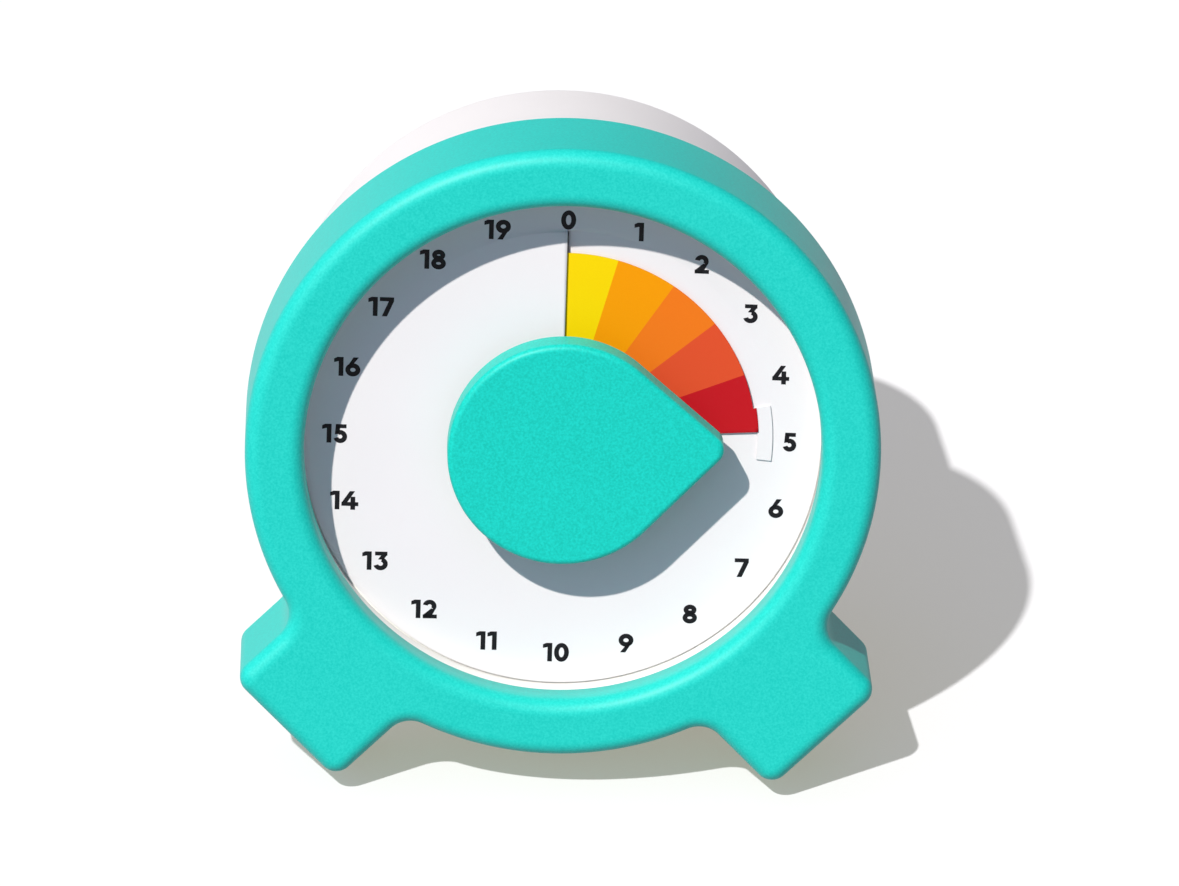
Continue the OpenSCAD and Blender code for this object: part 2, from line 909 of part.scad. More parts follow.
// Teardrop with its tip at +Y, counter-clockwise from the bottom
half_teardrop = concat(
    arc_points([0, 0], knob_r, -90, 90 - flank_angle, ring_steps),
    arc_points([0, tip_centre], tip_r, 90 - flank_angle, 90, round_steps)
);
teardrop = with_mirror(half_teardrop);

// Hollow knob in one surface
module knob_skin() {
    loft(concat(
        [
            loop_at(teardrop, knob_wall, knob_front - knob_wall),
            loop_at(teardrop, knob_wall, knob_back),
            loop_at(teardrop, 0, knob_back)
        ],
        edge_loops(teardrop, 0, knob_front, knob_edge_r, edge_steps)
    ));
}

module knob() {
    color(TEAL)
        stance()
            at_set_angle() {
                knob_skin();
                difference() {
                    rod(knob_boss_r, knob_back, knob_front - knob_wall / 2);
                    rod(arbor_r + seat_gap, knob_back - BEYOND, knob_back + socket_depth + seat_gap);
                }
            }
}

// ---------- arbor and what it carries ----------

module arbor() {
    rear_end = rear_plate_back - arbor_tail;
    shoulder = rear_plate_front + end_play;
    color(STEEL)
        stance()
            at_set_angle()
                difference() {
                    union() {
                        rod(arbor_r, shoulder, knob_back + socket_depth);
                        rod(collar_r, great_level + seat_gap, bay - end_play / 2);
                        rod(rear_pivot_r, rear_end, shoulder + EPS);
                    }
                    tube(rear_pivot_r + BEYOND, groove_r, clip_top - clip_t - seat_gap,
                        clip_top + seat_gap);
                }
}

module arbor_clip() {
    color(STEEL)
        stance()
            difference() {
                tube(clip_r, groove_r + seat_gap, clip_top - clip_t, clip_top);
                translate([0, -groove_r * clip_mouth, clip_top - clip_t - BEYOND])
                    cube([clip_r + BEYOND, 2 * groove_r * clip_mouth, clip_t + 2 * BEYOND]);
            }
}

module drive_sleeve() {
    color(BRASS)
        stance()
            at_set_angle()
                difference() {
                    six_sided(sleeve_af, sleeve_bottom, knob_back - seat_gap);
                    rod(arbor_r + seat_gap, sleeve_bottom - BEYOND, knob_back + BEYOND);
                }
}

module front_bushing() {
    color(BRASS)
        stance()
            difference() {
                union() {
                    rod(bush_r, bay, well_top + EPS);
                    rod(bush_flange_r, well_top + seat_gap, well_top + bush_flange_t);
                }
                rod(arbor_r + running, bay - BEYOND, well_top + BEYOND);
            }
}

module rear_bushing() {
    color(BRASS)
        stance()
            tube(rear_bush_r, rear_pivot_r + running, rear_plate_back, rear_plate_front);
}

// ---------- toothed wheels ----------

// Half angle of an involute tooth at radius r, for a tooth of half angle half at the pitch circle
function involute(a) = tan(a) * 180 / PI - a;
function flank_angle_at(r, pitch_r, half) =
    let (base = pitch_r * cos(pressure_angle))
    half + involute(pressure_angle) - involute(r > base ? acos(base / r) : 0);

// One tooth centred on angle 0, as [radius, angle] pairs up one flank and down the other
function tooth(m, n, gap) =
    let (
        pitch_r = m * n / 2,
        half = 90 / n - gap * 90 / PI / pitch_r,
        radii = [pitch_r - root_depth * m, pitch_r, pitch_r + tip_height * m],
        up = [for (r = radii) [r, -flank_angle_at(r, pitch_r, half)]],
        down = [for (i = [2 : -1 : 0]) [up[i][0], -up[i][1]]]
    )
    concat(up, down);

module gear_outline(m, n, gap) {
    shape = tooth(m, n, gap);
    polygon([for (i = [0 : n - 1]) for (p = shape) polar(p[0], p[1] + 360 * i / n)]);
}

module wheel(m, n, phase, level, bore_r, holes, first_hole) {
    rim_r = m * n / 2 - root_depth * m - wheel_rim;
    boss_r = bore_r + wheel_boss;
    hole_r = (rim_r - boss_r) / 2 - half_spoke;
    translate([0, 0, level - wheel_t])
        linear_extrude(height = wheel_t)
            difference() {
                rotate([0, 0, phase])
                    gear_outline(m, n, backlash);
                circle(r = bore_r);
                for (i = [0 : holes - 1])
                    rotate([0, 0, first_hole + 360 * i / holes])
                        translate([(rim_r + boss_r) / 2, 0])
                            circle(r = hole_r);
            }
}

module pinion(m, n, phase, z_high) {
    translate([0, 0, z_high - pinion_l])
        linear_extrude(height = pinion_l)
            rotate([0, 0, phase])
                gear_outline(m, n, 0);
}

// Arbor between the plates with a pivot at each end
module train_arbor() {
    rod(pinion_arbor_r, rear_plate_front + end_play, bay - end_play);
    rod(pivot_r, rear_plate_back - end_play, plate_front + pivot_proud);
}

module great_wheel() {
    color(BRASS)
        stance()
            at_set_angle()
                wheel(great_module, great_teeth, great_phase + set_angle, great_level, arbor_r + seat_gap,
                    great_holes, -90 + 180 / great_holes);
}

module second_pinion() {
    color(STEEL)
        stance()
            at(second_at) {
                train_arbor();
                pinion(great_module, second_leaves, second_phase, great_level + pinion_lead);
            }
}

module second_wheel() {
    color(BRASS)
        stance()
            at(second_at)
                wheel(train_module, second_teeth, second_phase, second_level, pinion_arbor_r + seat_gap,
                    train_holes, 0);
}

module third_pinion() {
    color(STEEL)
        stance()
            at(third_at) {
                train_arbor();
                pinion(train_module, third_leaves, third_phase, second_level + pinion_lead);
            }
}

module third_wheel() {
    color(BRASS)
        stance()
            at(third_at)
                wheel(train_module, third_teeth, third_phase, third_level, pinion_arbor_r + seat_gap,
                    train_holes, 0);
}

module escape_pinion() {
    color(STEEL)
        stance()
            at(escape_at) {
                train_arbor();
                pinion(train_module, escape_leaves, escape_phase, third_level + pinion_lead);
            }
}

module escape_wheel() {
    pitch_angle = 360 / escape_teeth;
    first = pallet_bearing + pin_spread - quarter_phase;
    teeth = [
        for (i = [0 : escape_teeth - 1])
            for (p = [
                [escape_root_r, -escape_root_half], [escape_r, -escape_tip_half],
                [escape_r, escape_tip_half], [escape_root_r, escape_root_half]])
                polar(p[0], p[1] + first + i * pitch_angle)
    ];
    color(BRASS)
        stance()
            at(escape_at)
                translate([0, 0, escape_level - wheel_t])
                    linear_extrude(height = wheel_t)
                        difference() {
                            polygon(teeth);
                            circle(r = pinion_arbor_r + seat_gap);
                        }
}

// ---------- pallets and balance ----------

function pallet_pin_at(side) = escape_at + polar(pin_ring, pallet_bearing + side * pin_spread);

module pallet_arbor() {
    color(STEEL)
        stance()
            at(pallet_at)
                train_arbor();
}

module pallet_lever() {
    color(BRASS)
        stance()
            translate([0, 0, pallet_level - pallet_t])
                linear_extrude(height = pallet_t)
                    difference() {
                        union() {
                            translate(pallet_at)
                                circle(r = pallet_boss_r);
                            for (side = [-1, 1])
                                link_shape(pallet_at, pallet_pin_at(side), pallet_w);
                        }
                        translate(pallet_at)
                            circle(r = pinion_arbor_r + seat_gap);
                        for (side = [-1, 1])
                            translate(pallet_pin_at(side))
                                circle(r = pin_r + seat_gap, $fn = 24);
                    }
}

module pallet_pins() {
    color(STEEL)
        stance()
            for (side = [-1, 1])
                at(pallet_pin_at(side))
                    rod(pin_r, pallet_level - pallet_t, escape_level + screw_play);
}

module balance_bar() {
    bar_half = 6;
    bar_w = 2;
    weight_r = 2.2;
    weight_rise = 0.6;
    low = balance_level - wheel_t;
    color(BRASS)
        stance()
            at(pallet_at)
                rotate([0, 0, pallet_bearing - 90])
                    difference() {
                        union() {
                            translate([-bar_half, -bar_w / 2, low])
                                cube([2 * bar_half, bar_w, wheel_t]);
                            for (x = [-bar_half, 0, bar_half])
                                translate([x, 0, 0])
                                    rod(weight_r, low, balance_level + (x == 0 ? 0 : weight_rise));
                        }
                        rod(pinion_arbor_r + seat_gap, low - BEYOND, balance_level + BEYOND);
                    }
}

// ---------- plates ----------

module at_pillars() {
    for (i = [0 : pillar_count - 1])
        at(polar(pillar_ring, pillar_first + i * pillar_pitch))
            children();
}

module pivot_holes(z_low, z_high) {
    for (place = [second_at, third_at, escape_at, pallet_at])
        at(place)
            rod(pivot_r + running, z_low, z_high);
    at_pillars()
        rod(screw_r + screw_play, z_low, z_high);
}

module front_plate() {
    color(STEEL)
        stance()
            difference() {
                rod(plate_d / 2, bay, plate_front);
                rod(bush_r + seat_gap, bay - BEYOND, plate_front + BEYOND);
                pivot_holes(bay - BEYOND, plate_front + BEYOND);
                at(hammer_at)
                    rod(pivot_r + running, bay - BEYOND, plate_front + BEYOND);
                at_move_screws()
                    rod(move_screw_r + seat_gap, bay - BEYOND, plate_front + BEYOND);
                at(stop_at())
                    rod(stop_post_r + seat_gap, bay - BEYOND, plate_front + BEYOND);
            }
}

module rear_plate() {
    color(STEEL)
        stance()
            difference() {
                rod(plate_d / 2, rear_plate_back, rear_plate_front);
                rod(rear_bush_r + seat_gap, rear_plate_back - BEYOND, rear_plate_front + BEYOND);
                pivot_holes(rear_plate_back - BEYOND, rear_plate_front + BEYOND);
                at(hammer_at)
                    rod(pinion_arbor_r + running, rear_plate_back - BEYOND, rear_plate_front + BEYOND);
                at(spring_post_at())
                    rod(spring_post_r + seat_gap, rear_plate_back - BEYOND, rear_plate_front + BEYOND);
                at(bell_at)
                    rod(stud_r + seat_gap, rear_plate_back - BEYOND, rear_plate_front + BEYOND);
            }
}

module plate_pillars() {
    depth = screw_bite + hole_spare;
    color(STEEL)
        stance()
            at_pillars()
                difference() {
                    rod(pillar_r, rear_plate_front + seat_gap, bay - seat_gap);
                    rod(screw_r + seat_gap, bay - depth, bay + BEYOND);
                    rod(screw_r + seat_gap, rear_plate_front - BEYOND, rear_plate_front + depth);
                }
}

module pillar_screws() {
    color(STEEL)
        stance()
            at_pillars() {
                translate([0, 0, plate_front + seat_gap])
                    mirror([0, 0, 1])
                        screw(screw_r, plate_t + screw_bite, screw_head_r, screw_head_h);
                translate([0, 0, rear_plate_back - seat_gap])
                    screw(screw_r, plate_t + screw_bite, screw_head_r, screw_head_h);
            }
}

module movement_screws() {
    color(STEEL)
        stance()
            at_move_screws()
                translate([0, 0, well_top + seat_gap])
                    mirror([0, 0, 1])
                        screw(move_screw_r, tray_t + plate_gap + plate_t, move_head_r, move_head_h);
}

// ---------- mainspring ----------

spring_in_r = arbor_r + end_play;
spring_out_r = spring_d / 2;
spring_steps = 20;
spring_post_r = 1;
spring_end_angle = 250;

function spring_post_at() = polar(spring_out_r + spring_post_r + seat_gap, spring_end_angle);

module mainspring() {
    n = spring_turns * spring_steps;
    grow = (spring_out_r - spring_t - spring_in_r) / n;
    function coil(i, lift) =
        polar(spring_in_r + grow * i + lift, spring_end_angle + 360 * (i - n) / spring_steps);
    inner = [for (i = [0 : n]) coil(i, 0)];
    outer = [for (i = [n : -1 : 0]) coil(i, spring_t)];
    color(STEEL)
        stance()
            translate([0, 0, spring_level - spring_w])
                linear_extrude(height = spring_w)
                    polygon(concat(inner, outer));
}

module spring_post() {
    color(STEEL)
        stance()
            at(spring_post_at())
                rod(spring_post_r, rear_plate_back, spring_level);
}

// ---------- stops and strike ----------

function stop_at() = polar(stop_ring, stop_half - 90);

module stop_post() {
    color(STEEL)
        stance()
            at(stop_at())
                rod(stop_post_r, great_level + end_play, plate_front);
}

module stop_pin() {
    color(STEEL)
        stance()
            at_set_angle()
                at([0, -stop_ring])
                    rod(stop_pin_r, great_level + seat_gap, bay - end_play);
}

module strike_cam() {
    color(BRASS)
        stance()
            at_set_angle()
                difference() {
                    tube(cam_r, arbor_r + seat_gap, cam_level - cam_t, cam_level);
                    rotate([0, 0, tail_bearing])
                        translate([cam_r - cam_notch, -cam_notch / 2, cam_level - cam_t - BEYOND])
                            cube([cam_notch + BEYOND, cam_notch, cam_t + 2 * BEYOND]);
                }
}

// Flat lever on the hammer's arbor, from z = low upwards, with a round end at the place to
module hammer_lever(to, w, low, t) {
    translate([0, 0, low])
        linear_extrude(height = t)
            difference() {
                union() {
                    translate(hammer_at)
                        circle(r = lever_boss_r);
                    link_shape(hammer_at, to, w);
                }
                translate(hammer_at)
                    circle(r = pinion_arbor_r + seat_gap);
            }
}

module hammer_arbor() {
    color(STEEL)
        stance()
            at(hammer_at) {
                rod(pinion_arbor_r, arm_level - arm_t, bay - end_play);
                rod(pivot_r, bay - end_play - EPS, plate_front + pivot_proud);
            }
}

module hammer_arm() {
    color(BRASS)
        stance()
            hammer_lever(head_at, arm_w, arm_level - arm_t, arm_t);
}

module hammer_head() {
    color(STEEL)
        stance()
            at(head_at)
                rod(head_r, bell_front - head_depth, arm_level - arm_t - seat_gap);
}

module hammer_tail() {
    color(BRASS)
        stance()
            hammer_lever(tail_at, tail_w, cam_level - cam_t, cam_t);
}

module bell() {
    color(STEEL)
        stance()
            at(bell_at)
                difference() {
                    translate([0, 0, bell_front])
                        mirror([0, 0, 1])
                            rotate_extrude()
                                edge_section(bell_r, 0, bell_h, bell_shoulder_r);
                    translate([0, 0, bell_front])
                        mirror([0, 0, 1])
                            rotate_extrude()
                                edge_section(bell_r - bell_wall, -BEYOND, bell_h - bell_wall,
                                    bell_shoulder_r - bell_wall);
                    rod(stud_r + screw_play, bell_back - BEYOND, bell_front);
                }
}

module bell_post() {
    color(STEEL)
        stance()
            at(bell_at) {
                rod(post_r, bell_back + bell_wall + seat_gap, rear_plate_back - seat_gap);
                rod(stud_r, bell_back - nut_h - stud_proud, rear_plate_front);
            }
}

module bell_nut() {
    color(BRASS)
        stance()
            at(bell_at)
                difference() {
                    six_sided(nut_af, bell_back - seat_gap - nut_h, bell_back - seat_gap);
                    rod(stud_r + seat_gap, bell_back - nut_h - BEYOND, bell_back + BEYOND);
                }
}

front_shell();
rear_shell();
dial_pan();
dial_plate();
case_screws();
front_plate();
rear_plate();
plate_pillars();
pillar_screws();
movement_screws();
front_bushing();
rear_bushing();
mainspring();
spring_post();
stop_post();
bell();
bell_post();
bell_nut();
knob();
arbor();
arbor_clip();
drive_sleeve();
great_wheel();
stop_pin();
strike_cam();
disc_hub();
disc_carrier();
color_disc();
second_pinion();
second_wheel();
third_pinion();
third_wheel();
escape_pinion();
escape_wheel();
pallet_arbor();
pallet_lever();
pallet_pins();
balance_bar();
hammer_arbor();
hammer_arm();
hammer_head();
hammer_tail();
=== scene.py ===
"""Looks of the visual countdown timer: turquoise shell and knob, white drum, numbered dial, film."""
import json
from math import acos, atan2, cos, degrees, exp, hypot, log, pi, radians, sin, sqrt

import bmesh
import bpy
from mathutils import Matrix, Vector


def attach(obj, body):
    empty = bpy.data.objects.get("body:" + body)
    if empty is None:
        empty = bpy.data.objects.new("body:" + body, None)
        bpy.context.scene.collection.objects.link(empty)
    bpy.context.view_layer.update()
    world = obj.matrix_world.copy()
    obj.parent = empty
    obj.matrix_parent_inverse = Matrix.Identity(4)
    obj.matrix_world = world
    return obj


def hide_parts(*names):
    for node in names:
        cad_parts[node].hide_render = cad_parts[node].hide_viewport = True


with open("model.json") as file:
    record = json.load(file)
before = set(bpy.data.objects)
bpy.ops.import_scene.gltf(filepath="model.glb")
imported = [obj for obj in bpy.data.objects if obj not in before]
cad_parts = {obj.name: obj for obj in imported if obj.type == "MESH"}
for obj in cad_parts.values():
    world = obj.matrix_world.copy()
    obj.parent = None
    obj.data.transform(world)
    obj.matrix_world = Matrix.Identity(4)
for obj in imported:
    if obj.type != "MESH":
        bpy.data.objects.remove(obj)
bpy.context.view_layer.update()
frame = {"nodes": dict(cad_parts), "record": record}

# Sizes in millimetres, in the dial's own frame: X right, Y up the dial, Z out towards the reader.
RING_R = 70.0
RING_FRONT = 14.6
RING_BACK = 12.6
SHELL_WALL = 2.4
RING_EDGE_R = 3.4
WINDOW_R = 57.0
WINDOW_EDGE_R = 3.3
WINDOW_BACK = 6.0
LEG_ANGLE = 45.0  # degrees below the horizontal
LEG_REACH = 88.6  # from the dial's centre to a leg's end
LEG_LOW = 20.1  # width of a leg below its centre line, and above it
LEG_HIGH = 12.9
LEG_CORNER_R = 4.0
LEG_LOW_FILLET = 6.0
LEG_HIGH_FILLET = 7.0
DRUM_R = 61.2
DRUM_BACK = 67.0
DRUM_EDGE_R = 3.0

DIAL_T = 0.6
DIAL_R = 57.3
DIAL_HOLE_R = 13.5
SLIT_W = 0.26
SLIT_R = 47.6
RINGS_BEYOND_SLIT = (0.25, 0.5, 0.8, 1.2, 1.7, 2.3, 3, 4, 5, 6.5, 8)
FLATTEN_POWER = 12  # how soon the dial is flat beyond its slit
SOFT_START = 0.05  # how softly that starts, this many degrees from the slit
SOFT_FROM = 40.0
PITCH = 1.5  # rise of the dial and the film in one turn
DISC_GAP = 0.2
CARRIER_T = 0.3
FILM_T = 0.2
FILM_R = 42.7
FILM_STEP = 0.7  # extra radius of the leading end, and its length in degrees
FILM_STEP_SPAN = 7.4
HUB_R = 12.01
SET_ANGLE = 86.94  # degrees clockwise from 12 o'clock that the timer is set to
FILM_SLOT = 2.0  # degrees left open between the film's two ends

KNOB_R = 25.5
KNOB_TIP = 35.4
KNOB_TIP_R = 3.5
KNOB_FRONT = 13.0
KNOB_BACK = 6.0
KNOB_EDGE_R = 1.4
KNOB_WALL = 2.0

BURR_R = 0.25  # rounding of edges that are only just broken
FACE_MARGIN = 0.5  # flat face kept between a rounded edge and the next line
HALF_RING_STEPS = 140
SHARP_ANGLE = 50  # degrees
MERGE_DIST = 0.001
TINY = 0.01

DIGIT_R = 50.3
DIGIT_H = 4.35
INK_LIFT = 0.03
MINUTES = 20


def stance():
    """Lean in degrees, depth and height of the dial's centre, as it stands on its legs and drum."""
    corner_u, corner_v = LEG_REACH - LEG_CORNER_R, LEG_LOW - LEG_CORNER_R
    leg = radians(LEG_ANGLE)
    drop = corner_u * sin(leg) + corner_v * cos(leg) + LEG_CORNER_R
    rise = drop - DRUM_R + DRUM_EDGE_R
    run = DRUM_BACK - DRUM_EDGE_R - RING_BACK
    lean = acos(DRUM_EDGE_R / hypot(rise, run)) - atan2(run, rise)
    front = (drop - RING_EDGE_R) * sin(lean) + (RING_FRONT - RING_EDGE_R) * cos(lean) + RING_EDGE_R
    back = (DRUM_R - DRUM_EDGE_R) * sin(lean) + (DRUM_BACK - DRUM_EDGE_R) * cos(lean) + DRUM_EDGE_R
    return degrees(lean), (front - back) / 2, drop * cos(lean) + RING_BACK * sin(lean)


LEAN, CENTRE_Y, FLOOR_DROP = stance()
STANCE = Matrix.Translation((0, CENTRE_Y, FLOOR_DROP)) @ Matrix.Rotation(radians(90 - LEAN), 4, "X")
PLACE = Matrix.Scale(0.001, 4) @ STANCE


# ---------- shader maths ----------

class Value:
    """A shader socket that takes part in Python arithmetic."""

    def __init__(self, paint, socket):
        self.paint, self.socket = paint, socket

    def join(self, operation, *values):
        return self.paint.node("Math", {"operation": operation}, *values)[0]

    def __add__(self, other):
        return self.join("ADD", self, other)

    def __sub__(self, other):
        return self.join("SUBTRACT", self, other)

    def __mul__(self, other):
        return self.join("MULTIPLY", self, other)

    def __truediv__(self, other):
        return self.join("DIVIDE", self, other)

    def __mod__(self, other):
        return self.join("FLOORED_MODULO", self, other)

    def __rsub__(self, other):
        return self.join("SUBTRACT", other, self)

    def __rtruediv__(self, other):
        return self.join("DIVIDE", other, self)

    def __rmod__(self, other):
        return self.join("FLOORED_MODULO", other, self)

    __radd__ = __add__
    __rmul__ = __mul__


class Nodes:
    """The node tree of a material or a world, and the way to add nodes to it."""

    def __init__(self, owner):
        owner.use_nodes = True
        self.tree = owner.node_tree

    def feed(self, target, value):
        """Gives a socket a value or a link."""
        if isinstance(value, Value):
            self.tree.links.new(value.socket, target)
        else:
            target.default_value = value

    def node(self, kind, settings, *inputs, **named):
        """Adds a node: its settings first, then the values or links of its sockets."""
        made = self.tree.nodes.new("ShaderNode" + kind)
        for key, value in settings.items():
            if key == "stops":
                set_stops(made.color_ramp, value)
            else:
                setattr(made, key, value)
        for target, value in zip(made.inputs, inputs):
            self.feed(target, value)
        for key, value in named.items():
            self.feed(made.inputs[key], value)
        return Outputs(self, made)

    def between(self, factor, low, high):
        """Colour from low to high by a factor from 0 to 1."""
        made = self.node("Mix", {"data_type": "RGBA"})
        self.feed(made.node.inputs["Factor"], factor)
        self.feed(made.node.inputs[6], low)
        self.feed(made.node.inputs[7], high)
        return Value(self, made.node.outputs[2])


class Paint(Nodes):
    """One material, painted through the sockets of its shader."""

    def __init__(self, name, roughness=0.5, metallic=0.0, specular=0.5):
        self.material = bpy.data.materials.new(name)
        super().__init__(self.material)
        self.shader = self.tree.nodes["Principled BSDF"]
        self.set("Roughness", roughness)
        self.set("Metallic", metallic)
        self.set("Specular IOR Level", specular)
        self.place = self.node("TexCoord", {})["Object"]

    def set(self, socket, value):
        self.feed(self.shader.inputs[socket], value)

    def noise(self, scale, detail=2.0, roughness=0.5):
        """Noise of about 1 / scale metres, from 0 to 1."""
        made = self.node("TexNoise", {}, Vector=self.place, Scale=scale, Detail=detail, Roughness=roughness)
        return made["Fac"]

    def bands(self, value, stops):
        """Even colours, each from its own stop to the next one."""
        made = self.node("ValToRGB", {"stops": stops}, value)
        made.node.color_ramp.interpolation = "CONSTANT"
        return made["Color"]

    def bump(self, height, strength, depth):
        made = self.node("Bump", {}, Height=height, Strength=strength, Distance=depth)
        self.set("Normal", made["Normal"])


class Outputs:
    """A new node's output sockets, by name or number."""

    def __init__(self, paint, node):
        self.paint, self.node = paint, node

    def __getitem__(self, key):
        return Value(self.paint, self.node.outputs[key])


def set_stops(ramp, stops):
    while len(ramp.elements) < len(stops):
        ramp.elements.new(1.0)
    for element, (at, _) in zip(ramp.elements, stops):
        element.position = at
    for element, (_, colour) in zip(ramp.elements, stops):
        element.color = colour


def rgb(red, green, blue):
    """Linear colour from the 0 to 255 values of a screen colour."""
    def linear(c):
        c /= 255
        return c / 12.92 if c <= 0.04045 else ((c + 0.055) / 1.055) ** 2.4
    return (linear(red), linear(green), linear(blue), 1.0)


# ---------- finishes ----------

def spark_textured(name, dark, light, roughness, specular):
    """Moulded plastic with the fine spark-eroded grain of its tool."""
    paint = Paint(name, specular=specular)
    grain = paint.noise(1900, 2.5, 0.6)
    cloud = paint.noise(60)
    speckle = paint.node("MapRange", {}, Value=grain, **{"From Min": 0.34, "From Max": 0.66})["Result"]
    paint.set("Base Color", paint.between(speckle * 0.8 + cloud * 0.2, dark, light))
    paint.set("Roughness", grain * 0.2 + (roughness - 0.1))
    paint.set("Coat Weight", 0.4)
    paint.set("Coat Roughness", 0.5)
    paint.bump(grain, 0.5, 0.00004)
    return paint.material


def smooth_white(name, colour, shade, roughness, depth):
    """White moulding: even, with a slight mottle and a very fine grain."""
    paint = Paint(name)
    cloud = paint.noise(45)
    grain = paint.noise(3400)
    paint.set("Base Color", paint.between(cloud * 0.6 + grain * 0.4, shade, colour))
    paint.set("Roughness", grain * 0.14 + (roughness - 0.07))
    paint.bump(grain, 0.35, depth)
    return paint.material


def worked_metal(name, dark, light, roughness, streak):
    """Rolled or turned metal: fine streaks on one axis and a soft variation of tone."""
    paint = Paint(name, metallic=1.0)
    drawn = paint.node("Mapping", {}, Vector=paint.place, Scale=streak)["Vector"]
    lines = paint.node("TexNoise", {}, Vector=drawn, Scale=1400.0, Detail=3.0)["Fac"]
    cloud = paint.noise(120)
    paint.set("Base Color", paint.between(lines * 0.5 + cloud * 0.5, dark, light))
    paint.set("Roughness", lines * 0.16 + (roughness - 0.08))
    paint.bump(lines, 0.3, 0.00002)
    return paint.material


def dial_angle(paint):
    """Clockwise angle from 12 o'clock, in radians, of a point of the dial."""
    x, y, z = (paint.node("SeparateXYZ", {}, paint.place)[i] for i in range(3))
    up = (y - CENTRE_Y / 1000) * sin(radians(LEAN)) + (z - FLOOR_DROP / 1000) * cos(radians(LEAN))
    return x.join("ARCTAN2", x, up)


BAND_ANGLE = 17.6  # degrees of film in one colour
FILM_COLOURS = [
    (187, 17, 32), (216, 77, 42), (232, 117, 25), (237, 150, 0), (239, 207, 0),
    (196, 214, 40), (128, 194, 60), (60, 172, 78), (22, 160, 112), (0, 160, 158),
    (0, 146, 190), (16, 118, 188), (38, 90, 174), (60, 68, 158), (86, 56, 150),
    (112, 50, 146), (142, 46, 138), (170, 42, 124), (190, 44, 104), (200, 40, 76),
]


def printed_film():
    """Film printed with one colour a minute, counted back from its leading edge."""
    paint = Paint("printed_film", specular=0.08)
    turn = (radians(SET_ANGLE) - dial_angle(paint)) / (2 * pi) % 1.0
    stops = [(i * BAND_ANGLE / 360, rgb(*c)) for i, c in enumerate(FILM_COLOURS)]
    bands = paint.bands(turn, stops)
    grain = paint.noise(2800)
    paint.set("Base Color", paint.between(grain * 0.05, bands, rgb(150, 110, 60)))
    paint.set("Roughness", grain * 0.12 + 0.5)
    paint.bump(grain, 0.15, 0.00002)
    return paint.material


def printing_ink():
    """Screen-printed black with a faintly uneven film of ink."""
    paint = Paint("printing_ink", specular=0.2)
    grain = paint.noise(2600)
    paint.set("Base Color", paint.between(grain, rgb(6, 6, 10), rgb(18, 18, 24)))
    paint.set("Roughness", grain * 0.2 + 0.5)
    return paint.material


TURQUOISE = spark_textured("turquoise_plastic", rgb(0, 193, 179), rgb(38, 210, 195), 0.5, 0.15)
# The knob is the same plastic as the shell; its copy is a touch darker and deeper in colour, painted shade
# for how the knob takes the light.
SHADED_KNOB_TURQUOISE = spark_textured("knob_plastic_painted_shade", rgb(0, 186, 168), rgb(20, 211, 195), 0.45, 0.1)
CASE_WHITE = smooth_white("case_white", rgb(240, 239, 234), rgb(232, 230, 225), 0.5, 0.00003)
DIAL_WHITE = smooth_white("dial_white", rgb(233, 230, 231), rgb(227, 225, 226), 0.6, 0.00002)
FILM = printed_film()
INK = printing_ink()
STEEL = worked_metal(
    "bright_steel", (0.50, 0.51, 0.53, 1), (0.66, 0.67, 0.69, 1), 0.32, (1, 0.06, 1))
ZINC = worked_metal(
    "zinc_plated_steel", (0.44, 0.45, 0.47, 1), (0.62, 0.63, 0.64, 1), 0.4, (1, 1, 1))
SPRING_STEEL = worked_metal(
    "blued_spring_steel", (0.10, 0.12, 0.18, 1), (0.17, 0.19, 0.26, 1), 0.3, (0.1, 1, 1))
BELL_METAL = worked_metal(
    "nickelled_bell", (0.66, 0.65, 0.62, 1), (0.76, 0.75, 0.72, 1), 0.16, (1, 1, 1))
BRASS = worked_metal(
    "satin_brass", (0.60, 0.42, 0.14, 1), (0.74, 0.55, 0.22, 1), 0.34, (0.06, 1, 1))

CARRIED_OVER = {
    "white_plastic": CASE_WHITE, "dial_plastic": DIAL_WHITE, "screw_steel": ZINC, "steel": STEEL,
    "spring_steel": SPRING_STEEL, "bell_steel": BELL_METAL, "brass": BRASS,
    "teal_plastic": TURQUOISE, "printed_film": FILM,
}
for part in frame["record"]["subparts"]:
    node = frame["nodes"][part["node"]]
    node.data.materials.clear()
    node.data.materials.append(CARRIED_OVER[part["material_slot"]])


# ---------- modelling helpers ----------

class Pen:
    """Draws one open line on a plane of constant Z, straight stretch by arc."""

    def __init__(self, bm, x, y, z):
        self.bm, self.z = bm, z
        self.tip = bm.verts.new((x, y, z))
        self.edges = []

    def line(self, x, y):
        new = self.bm.verts.new((x, y, self.z))
        self.edges.append(self.bm.edges.new((self.tip, new)))
        self.tip = new

    def arc(self, centre, angle, steps):
        before = set(self.bm.edges)
        made = bmesh.ops.spin(
            self.bm, geom=[self.tip], cent=(centre[0], centre[1], self.z), axis=(0, 0, 1),
            angle=radians(angle), steps=steps, use_duplicate=False)
        self.tip = made["geom_last"][0]
        self.edges += [e for e in self.bm.edges if e not in before]


def turned(x, y, angle):
    """The point turned about the origin by an angle in degrees."""
    a = radians(angle)
    return x * cos(a) - y * sin(a), x * sin(a) + y * cos(a)


def half_ring(bm, r, z):
    pen = Pen(bm, 0, -r, z)
    pen.arc((0, 0), 180, HALF_RING_STEPS)
    return pen.edges


